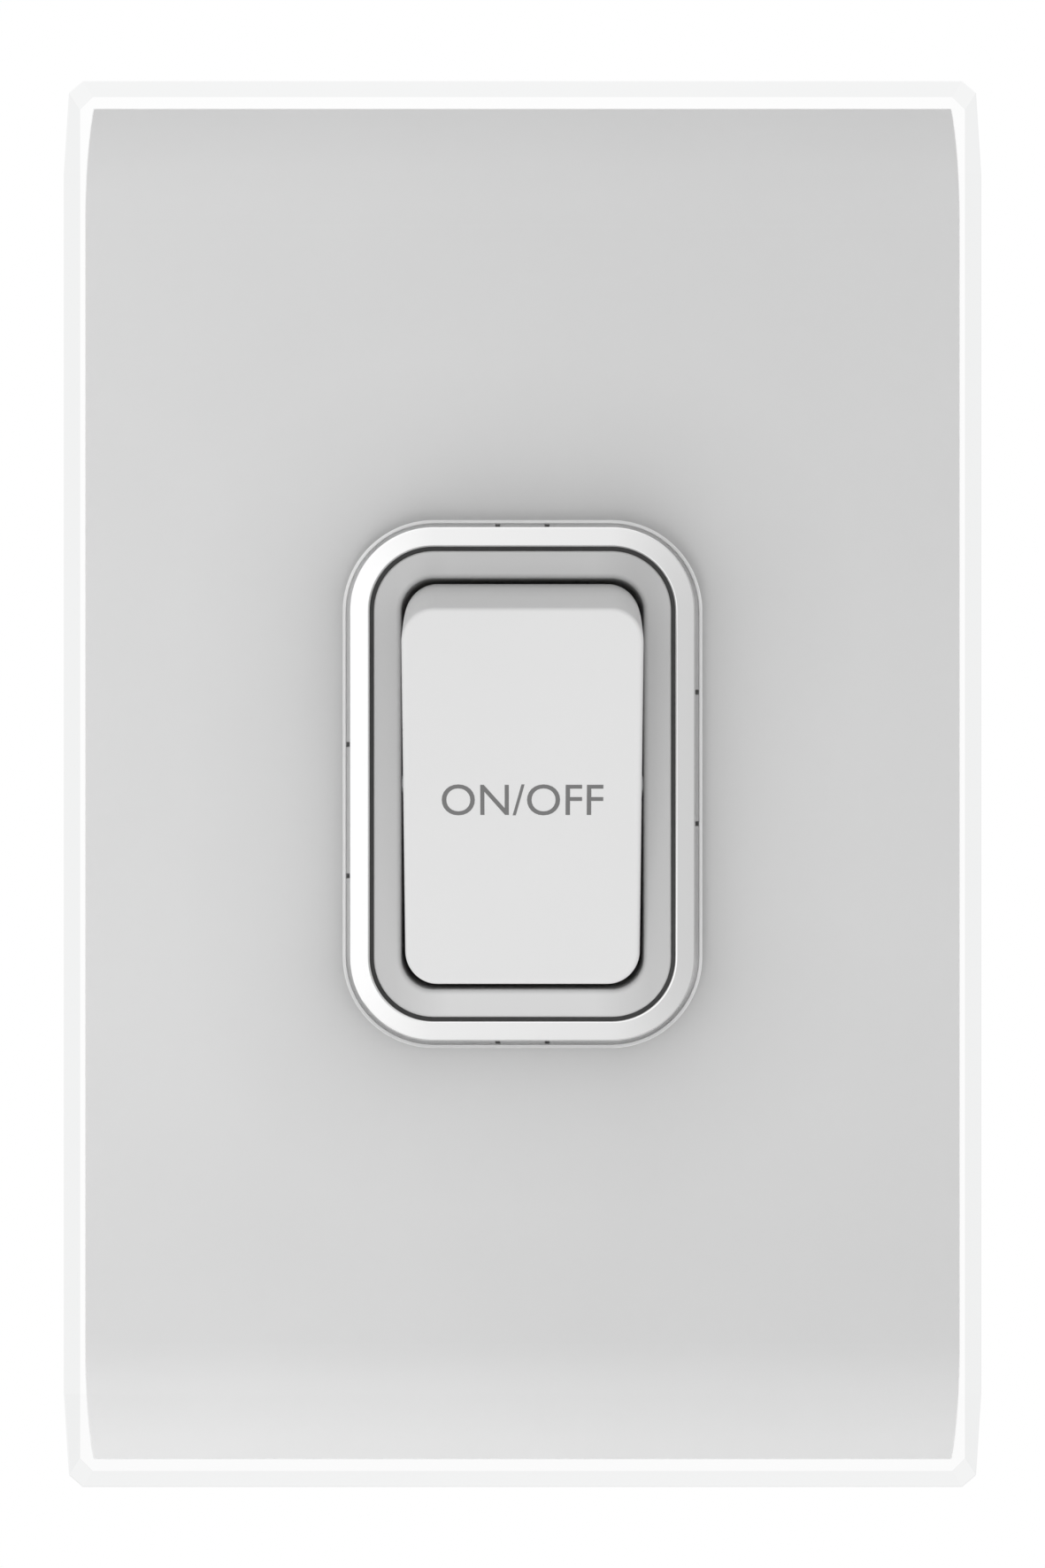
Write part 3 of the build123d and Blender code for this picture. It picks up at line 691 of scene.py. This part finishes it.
@dataclass
class Studio:
    """The camera at the photograph's place, the soft lights, the white surround and the floor."""

    distance: float = 170 * MM
    picture_height: int = 1772
    focal_pixels: float = 2236.7
    sensor: float = 36.0
    light: Grade = Grade(1.38, (-0.16, 0.0, -0.16), (0.78, 0.20, 0.0), 0.60, 3.0)
    gloss: Grade = Grade(1.29, (-0.76, 0.42, 0.06), ceiling=1.12)
    white: Grade = Grade(1.0)
    cap_from: float = 0.35
    lamps: tuple[Lamp, ...] = (
        Lamp("key", (-0.07, -0.24, -0.28), 0.20, 0.45),
        Lamp("fill", (0.35, -0.40, 0.05), 0.30, 0.2),
        Lamp("back_light", (0.25, 0.45, 0.25), 0.30, 1.0),
    )
    floor_drop: float = 300 * MM
    floor_half: float = 500 * MM
    floor_forward: float = -80 * MM
    floor_cells: int = 8
    paper: Moulding = Moulding("floor_paper", grey(0.8), 0.8, 5.0e-6, 900.0)

    def camera(self) -> None:
        """Set the camera straight in front, as far from the wall as the perspective says."""
        data = bpy.data.cameras.new("camera")
        data.sensor_width = self.sensor
        data.lens = self.focal_pixels * self.sensor / self.picture_height
        data.clip_start = 0.005
        data.clip_end = 20.0
        camera = bpy.data.objects.new("camera", data)
        camera.location = (0, -self.distance, 0)
        camera.rotation_euler = (math.pi / 2, 0, 0)
        bpy.context.scene.collection.objects.link(camera)
        bpy.context.scene.camera = camera

    def graded(self, tree: Tree, grade: Grade) -> Socket:
        """A background whose strength changes evenly with direction.

        Args:
            tree: The world's tree.
            grade: How strong it is, and where.

        Returns:
            The background's socket.
        """
        direction = tree.node("TexCoord").outputs["Generated"]
        lean = tree.vector("DOT_PRODUCT", direction, Vector(grade.leans))
        dip = tree.vector("DOT_PRODUCT", tree.vector("ABSOLUTE", direction), -Vector(grade.dips))
        cap = tree.ramp(tree.axes(direction)["Z"], self.cap_from, 1.0, 0.0, -grade.cap)
        total = tree.sum("ADD", tree.sum("ADD", dip, lean), cap)
        strength = tree.ramp(total, -grade.middle, grade.ceiling - grade.middle, 0.0, grade.ceiling)
        background = tree.node("Background")
        background.inputs["Color"].default_value = (1, 1, 1, 1)
        tree.link(strength, background.inputs["Strength"])
        return background.outputs["Background"]

    def world(self) -> None:
        """A surround: white to the camera and through glass, graded in gloss, and soft as a light."""
        world = bpy.data.worlds.new("surround")
        bpy.context.scene.world = world
        tree = Tree(world, "OutputWorld")
        soft, gloss, white = (self.graded(tree, grade) for grade in (self.light, self.gloss, self.white))
        path = tree.node("LightPath").outputs
        seen = tree.sum("MAXIMUM", path["Is Camera Ray"], path["Is Transmission Ray"])
        reflected = tree.blend(path["Is Glossy Ray"], soft, gloss)
        tree.surface(tree.blend(seen, reflected, white))

    def floor(self, lowest: float) -> None:
        """A plain pale floor below the switch.

        Args:
            lowest: The lowest height of the switch.
        """
        bm = bmesh.new()
        cells = self.floor_cells
        bmesh.ops.create_grid(bm, x_segments=cells, y_segments=cells, size=self.floor_half)
        bmesh.ops.translate(bm, verts=bm.verts, vec=(0, self.floor_forward, lowest - self.floor_drop))
        mesh = bpy.data.meshes.new("floor")
        bm.to_mesh(mesh)
        bm.free()
        floor = bpy.data.objects.new("floor", mesh)
        bpy.context.scene.collection.objects.link(floor)
        mesh.materials.append(self.paper.material())
        floor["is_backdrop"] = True

    def build(self) -> None:
        """Set the whole studio and the plain view transform."""
        bpy.context.scene.view_settings.view_transform = "Standard"
        self.camera()
        self.world()
        for lamp in self.lamps:
            lamp.hang()
        self.floor(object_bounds()[0].z)


@dataclass
class Finishes:
    """The materials of the record's slots."""

    made: dict[str, bpy.types.Material] = field(default_factory=dict)

    def build(self) -> None:
        """Build one material for each slot."""
        finishes = {
            "clear_plastic": ClearPlastic(),
            # The fascia, bezel and rocker colours carry painted light and shade.
            "fascia_grey": Moulding("fascia_grey", grey(0.71), 0.35, 1.0e-6, painted_light_shade=FasciaPaintedLightShade()),
            "bright_trim": Metal("bright_trim", grey(0.93), 0.16, Grain.SPARK, 0.5e-6, 0.01),
            "bezel_grey": Moulding("bezel_grey", grey(0.61), 0.45, 3.0e-6, painted_light_shade=BezelPaintedLightShade()),
            "rocker_white": Moulding("rocker_white", grey(0.72), 0.30, 1.0e-6, painted_light_shade=RockerPaintedLightShade()),
            "dolly_nylon": Moulding("dolly_nylon", (0.72, 0.70, 0.62), 0.5),
            "frame_grey": Moulding("frame_grey", (0.48, 0.49, 0.50), 0.5, 4.0e-6),
            "case_white": Moulding("case_white", (0.70, 0.70, 0.69), 0.5, 4.0e-6),
            "base_grey": Moulding("base_grey", (0.22, 0.23, 0.24), 0.5, 4.0e-6),
            "zinc_steel": Metal("zinc_steel", (0.62, 0.63, 0.64), 0.3, Grain.TURNED),
            "brass": Metal("brass", (0.72, 0.53, 0.24), 0.28, Grain.TURNED),
            "copper": Metal("copper", (0.75, 0.40, 0.26), 0.3, Grain.DRAWN),
            "silver": Metal("silver", (0.84, 0.83, 0.80), 0.25),
            "acetal": Moulding("acetal", (0.60, 0.58, 0.52), 0.35),
            "print_grey": Moulding("print_grey", grey(0.17), 0.45, 0.5e-6),
            # A near-black grey for the band of painted shade in the ring-bezel gap.
            "gap_shade_grey": Moulding("gap_shade_grey", grey(0.07), 0.7, 2.0e-6),
        }
        for slot, finish in finishes.items():
            self.made[slot] = finish.material()

    def dress(self, piece: bpy.types.Object, slot: str) -> None:
        """Give a piece the one material of a slot.

        Args:
            piece: The object.
            slot: The record's slot.
        """
        piece.data.materials.clear()
        piece.data.materials.append(self.made[slot])


def keep(bm: bmesh.types.BMesh, name: str, body: str) -> bpy.types.Object:
    """Turn a bmesh into a piece that rides on a body.

    Args:
        bm: The mesh, in the object's own frame. It is freed.
        name: The piece's name.
        body: The body that carries it.

    Returns:
        The piece.
    """
    mesh = bpy.data.meshes.new(name)
    bm.to_mesh(mesh)
    bm.free()
    piece = bpy.data.objects.new(name, mesh)
    bpy.context.scene.collection.objects.link(piece)
    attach(piece, body)
    LOG.info("made %s", name)
    return piece


def lettering(words: str, height: float, thickness: float, place: Matrix) -> bmesh.types.BMesh:
    """Plain raised letters, centred on a place.

    Args:
        words: What they say.
        height: The height of a capital.
        thickness: How thick they are, half of it sunk in.
        place: Where their middle is: X along the line, Y up the letters, Z towards the reader.

    Returns:
        The mesh.
    """
    curve = bpy.data.curves.new("letters", "FONT")
    curve.body = words
    curve.align_x = "CENTER"
    curve.align_y = "CENTER"
    curve.size = 1.0
    curve.resolution_u = LETTER_RESOLUTION
    curve.extrude = LETTER_DEPTH
    holder = bpy.data.objects.new("letters", curve)
    bpy.context.scene.collection.objects.link(holder)
    depsgraph = bpy.context.evaluated_depsgraph_get()
    mesh = bpy.data.meshes.new_from_object(holder.evaluated_get(depsgraph))
    bm = bmesh.new()
    bm.from_mesh(mesh)
    bpy.data.objects.remove(holder)
    bpy.data.curves.remove(curve)
    bpy.data.meshes.remove(mesh)
    bmesh.ops.remove_doubles(bm, verts=bm.verts, dist=LETTER_WELD)
    low = Vector([min(v.co[i] for v in bm.verts) for i in range(3)])
    high = Vector([max(v.co[i] for v in bm.verts) for i in range(3)])
    scale = height / (high.y - low.y)
    bmesh.ops.translate(bm, verts=bm.verts, vec=-(low + high) / 2)
    bmesh.ops.scale(bm, verts=bm.verts, vec=(scale, scale, thickness / (high.z - low.z)))
    bmesh.ops.recalc_face_normals(bm, faces=bm.faces)
    bmesh.ops.transform(bm, matrix=place, verts=bm.verts)
    return bm


@dataclass
class RockerPrint:
    """The plain word printed on the rocker's face, which leans with the rocker's resting tilt."""

    words: str = "ON/OFF"
    face_height: float = 6.16 * MM
    letter_height: float = 2.55 * MM
    ink: float = 0.02 * MM

    def build(self, finishes: Finishes) -> None:
        """Lay the word on the face.

        Args:
            finishes: The made materials.
        """
        lean = Matrix.Rotation(TILT, 4, "X") @ Matrix.Rotation(math.pi / 2, 4, "X")
        rise = Matrix.Translation((0, 0, self.face_height))
        middle = Matrix.Translation((0, -PIVOT_RISE, 0)) @ lean @ rise
        word = keep(lettering(self.words, self.letter_height, self.ink, middle), "rocker_print", "rocker")
        finishes.dress(word, "print_grey")


@dataclass
class TrimRing:
    """The bright ring, whose front falls a little outwards between two finely rounded edges."""

    node: str = "trim_ring"
    inner: Outline = Outline(5.24 * MM)
    width: float = 1.64 * MM
    low: float = 1.8 * MM
    high: float = 7.2 * MM
    fall: float = 0.14 * MM
    rounding: float = 0.15 * MM
    facets: int = 6
    crease: float = math.radians(40.0)

    def build(self, finishes: Finishes) -> None:
        """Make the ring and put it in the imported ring's place.

        Args:
            finishes: The made materials.
        """
        bm = self.inner.band(self.width, self.low, self.high)
        middle = self.inner.radius + self.width / 2
        front = [v for v in bm.verts if v.co.y < -self.high + self.rounding]
        for v in front:
            past_x = max(abs(v.co.x) - self.inner.corner_x, 0.0)
            past_z = max(abs(v.co.z) - self.inner.corner_z, 0.0)
            if math.hypot(past_x, past_z) > middle:
                v.co.y += self.fall
        rims = [
            e
            for e in bm.edges
            if all(v in front for v in e.verts) and any(abs(f.normal.y) < 0.5 for f in e.link_faces)
        ]
        rounded = bmesh.ops.bevel(
            bm,
            geom=rims,
            offset=self.rounding,
            affect="EDGES",
            segments=self.facets,
            profile=0.5,
            material=-1,
        )
        edges = set(rounded["faces"])
        bm.normal_update()
        for face in bm.faces:
            face.smooth = True
        for edge in bm.edges:
            ends = sum(face in edges for face in edge.link_faces)
            edge.smooth = ends != 1 and edge.calc_face_angle(0.0) < self.crease
        ring = keep(bm, "rounded_trim_ring", "root")
        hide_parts(self.node)
        finishes.dress(ring, "bright_trim")


@dataclass
class GapShadeBand:
    """A dark band laid low in the narrow gap between the bezel and the trim ring: painted shade that sets
    how dark the gap looks.
    """

    bezel: Outline = Outline(4.93 * MM)
    gap: float = 0.35 * MM
    low: float = 5.9 * MM
    high: float = 6.4 * MM

    def build(self, finishes: Finishes) -> None:
        """Lay the painted-shade band in the gap.

        Args:
            finishes: The made materials.
        """
        gap_shade = keep(self.bezel.band(self.gap, self.low, self.high), "gap_shade_band", "root")
        finishes.dress(gap_shade, "gap_shade_grey")


@dataclass
class MountingThreads:
    """The rolled threads of the two mounting screws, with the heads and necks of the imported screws."""

    node: str = "mounting_screws"
    fixing_z: float = 42.0 * MM
    crest: float = 1.75 * MM
    root: float = 1.42 * MM
    pitch: float = 0.6 * MM
    start: float = 0.3 * MM
    end: float = 20.0 * MM
    steps: int = 20
    core_facets: int = 32
    point: float = 0.8
    plain: float = 1.6
    lead: float = 0.05
    sunk: float = 0.97
    crest_share: tuple[float, float] = (0.42, 0.54)
    foot_share: tuple[float, float] = (0.0, 0.96)
    weld: float = 1e-7

    def heads(self, source: bpy.types.Object) -> bmesh.types.BMesh:
        """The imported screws, cut off where their threads begin.

        Args:
            source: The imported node.

        Returns:
            The mesh.
        """
        bm = bmesh.new()
        bm.from_mesh(source.data)
        bmesh.ops.remove_doubles(bm, verts=bm.verts, dist=self.weld)
        everything = bm.verts[:] + bm.edges[:] + bm.faces[:]
        cut = bmesh.ops.bisect_plane(
            bm, geom=everything, plane_co=(0, self.start, 0), plane_no=(0, 1, 0), clear_outer=True
        )
        rims = [item for item in cut["geom_cut"] if isinstance(item, bmesh.types.BMEdge)]
        bmesh.ops.holes_fill(bm, edges=rims)
        return bm

    def thread(self, bm: bmesh.types.BMesh, z: float) -> None:
        """Add one threaded shank.

        Args:
            bm: The mesh that it is added to.
            z: The height of the screw.
        """
        axis = Vector((0, 0, z))
        middle = Matrix.Translation((0, (self.start + self.end) / 2, z))
        core = bmesh.ops.create_cone(
            bm,
            cap_ends=True,
            segments=self.core_facets,
            radius1=self.root,
            radius2=self.root,
            depth=self.end - self.start,
            matrix=middle @ Matrix.Rotation(math.pi / 2, 4, "X"),
        )
        tip = [v for v in core["verts"] if v.co.y > self.end - self.pitch / 4]
        bmesh.ops.scale(bm, verts=tip, vec=(self.point, 1, self.point), space=Matrix.Translation(-axis))
        turns = int((self.end - self.start - self.plain * self.pitch) / self.pitch)
        low = self.start + self.lead * self.pitch
        foot = self.sunk * self.root
        profile = (
            (self.foot_share[0], foot),
            (self.crest_share[0], self.crest),
            (self.crest_share[1], self.crest),
            (self.foot_share[1], foot),
        )
        flank = [bm.verts.new((0, low + share * self.pitch, z + radius)) for share, radius in profile]
        face = bm.faces.new(flank)
        made = bmesh.ops.spin(
            bm,
            geom=[face],
            cent=axis,
            axis=(0, 1, 0),
            dvec=(0, self.pitch / self.steps, 0),
            angle=turns * math.tau,
            steps=turns * self.steps,
            use_duplicate=False,
        )
        last = [item for item in made["geom_last"] if isinstance(item, bmesh.types.BMFace)]
        for corners in (flank, list({v for item in last for v in item.verts})):
            for v in corners:
                offset = v.co - axis
                shrink = foot / math.hypot(offset.x, offset.z)
                v.co = axis + Vector((offset.x * shrink, offset.y, offset.z * shrink))

    def build(self, frame: dict, finishes: Finishes) -> None:
        """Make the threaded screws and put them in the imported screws' place.

        Args:
            frame: The loaded frame.
            finishes: The made materials.
        """
        bm = self.heads(frame["nodes"][self.node])
        for z in (self.fixing_z, -self.fixing_z):
            self.thread(bm, z)
        bmesh.ops.recalc_face_normals(bm, faces=bm.faces)
        screws = keep(bm, "threaded_mounting_screws", "root")
        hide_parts(self.node)
        finishes.dress(screws, "zinc_steel")


@dataclass
class PlungerSprings:
    """The two coil springs behind the plungers."""

    pole_x: float = 6.0 * MM
    roof: float = 1.6 * MM
    seat: float = 6.1 * MM
    travel: float = 1.0 * MM
    radius: float = 1.05 * MM
    wire: float = 0.2 * MM
    turns: float = 4.5
    clearance: float = 0.01 * MM
    steps_a_turn: int = 28
    wire_facets: int = 12

    def coil(self) -> bmesh.types.BMesh:
        """One coil between its two seats, about the Y axis.

        Returns:
            The mesh.
        """
        steps = round(self.steps_a_turn * self.turns)
        end = self.wire + self.clearance
        rise = (self.seat - self.roof - 2 * end) / steps
        bm = bmesh.new()
        start = Matrix.Translation((self.radius, self.roof + end, 0))
        bmesh.ops.create_circle(
            bm, cap_ends=True, segments=self.wire_facets, radius=self.wire, matrix=start
        )
        bmesh.ops.spin(
            bm,
            geom=bm.faces[:],
            cent=(0, 0, 0),
            axis=(0, 1, 0),
            dvec=(0, rise, 0),
            angle=self.turns * math.tau,
            steps=steps,
            use_duplicate=False,
        )
        bmesh.ops.recalc_face_normals(bm, faces=bm.faces)
        for face in bm.faces:
            face.smooth = len(face.verts) == 4
        return bm

    def build(self, finishes: Finishes) -> None:
        """Put a coil in each bore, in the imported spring's place.

        Args:
            finishes: The made materials.
        """
        for side in Side:
            hub = Matrix.Translation((side.value * self.pole_x, -PIVOT_RISE, 0))
            hub @= Matrix.Rotation(TILT, 4, "X")
            bm = self.coil()
            bmesh.ops.transform(bm, matrix=hub, verts=bm.verts)
            spring = keep(bm, f"closing_spring_{side.word}", "rocker")
            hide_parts(f"plunger_spring_{side.word}")
            finishes.dress(spring, "zinc_steel")
            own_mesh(spring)


@dataclass
class TerminalMarks:
    """Plain raised letters beside the cable entries, as moulded in the back of the base."""

    back: float = 24.2515 * MM
    height: float = 2.2 * MM
    relief: float = 0.3 * MM
    x: float = 10.5 * MM
    z: float = 13.5 * MM

    def build(self, finishes: Finishes) -> None:
        """Raise the letters on the back.

        Args:
            finishes: The made materials.
        """
        towards_back = Matrix.Rotation(math.pi, 4, "Z") @ Matrix.Rotation(math.pi / 2, 4, "X")
        for side, pole in ((Side.LEFT, "L"), (Side.RIGHT, "N")):
            for way, z in (("load", self.z), ("line", -self.z)):
                place = Matrix.Translation((side.value * self.x, self.back, z)) @ towards_back
                letter = lettering(pole, self.height, self.relief, place)
                mark = keep(letter, f"mark_{way}_{side.word}", "root")
                finishes.dress(mark, "base_grey")


def main() -> None:
    """Load the model, dress it and set the studio."""
    logging.basicConfig(level=logging.INFO, format="%(message)s")
    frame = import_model()
    finishes = Finishes()
    finishes.build()
    for entry in frame["record"]["subparts"]:
        finishes.dress(frame["nodes"][entry["node"]], entry["material_slot"])
        LOG.info("dressed %s", entry["node"])
    RockerPrint().build(finishes)
    TrimRing().build(finishes)
    GapShadeBand().build(finishes)
    MountingThreads().build(frame, finishes)
    PlungerSprings().build(finishes)
    TerminalMarks().build(finishes)
    Studio().build()


if __name__ == "__main__":
    main()
